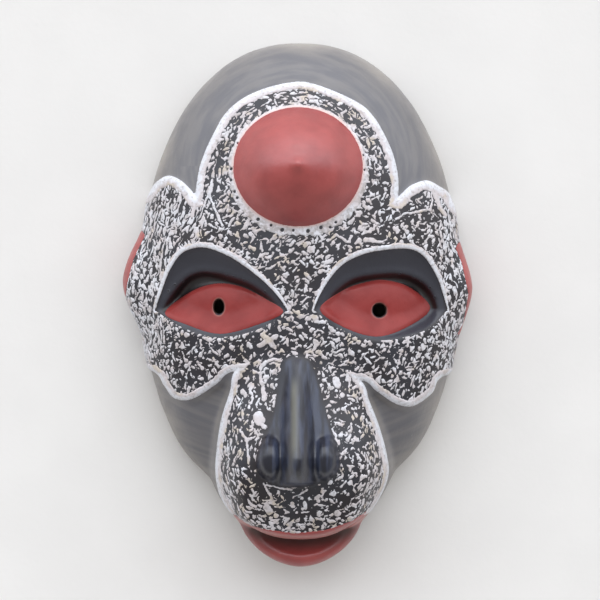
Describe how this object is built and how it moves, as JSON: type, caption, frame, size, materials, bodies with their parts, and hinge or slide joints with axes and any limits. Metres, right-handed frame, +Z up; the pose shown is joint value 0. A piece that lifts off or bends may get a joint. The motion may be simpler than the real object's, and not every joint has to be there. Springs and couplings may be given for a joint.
{
  "type": "mask",
  "caption": "Carved wooden face mask with a cone on the forehead, almond eyes, a long nose and a jutting muzzle, hollow at the back, lying face up.",
  "frame": {"origin": "centre of the mask's plan, on the plane of its flat back rim", "axes": "+Z up out of the face, +Y from the chin to the crown, +X to the right of a person who looks at the face"},
  "size_m": [0.1927, 0.2881, 0.1018],
  "materials": {
    "black_paint": "carved wood under black paint with a dull shine",
    "white_paint": "thick white paint in dabs and lines",
    "red_paint": "terracotta red paint with a dull shine"
  },
  "bodies": {
    "root": {"carved_mask": "black_paint"}
  },
  "joints": []
}
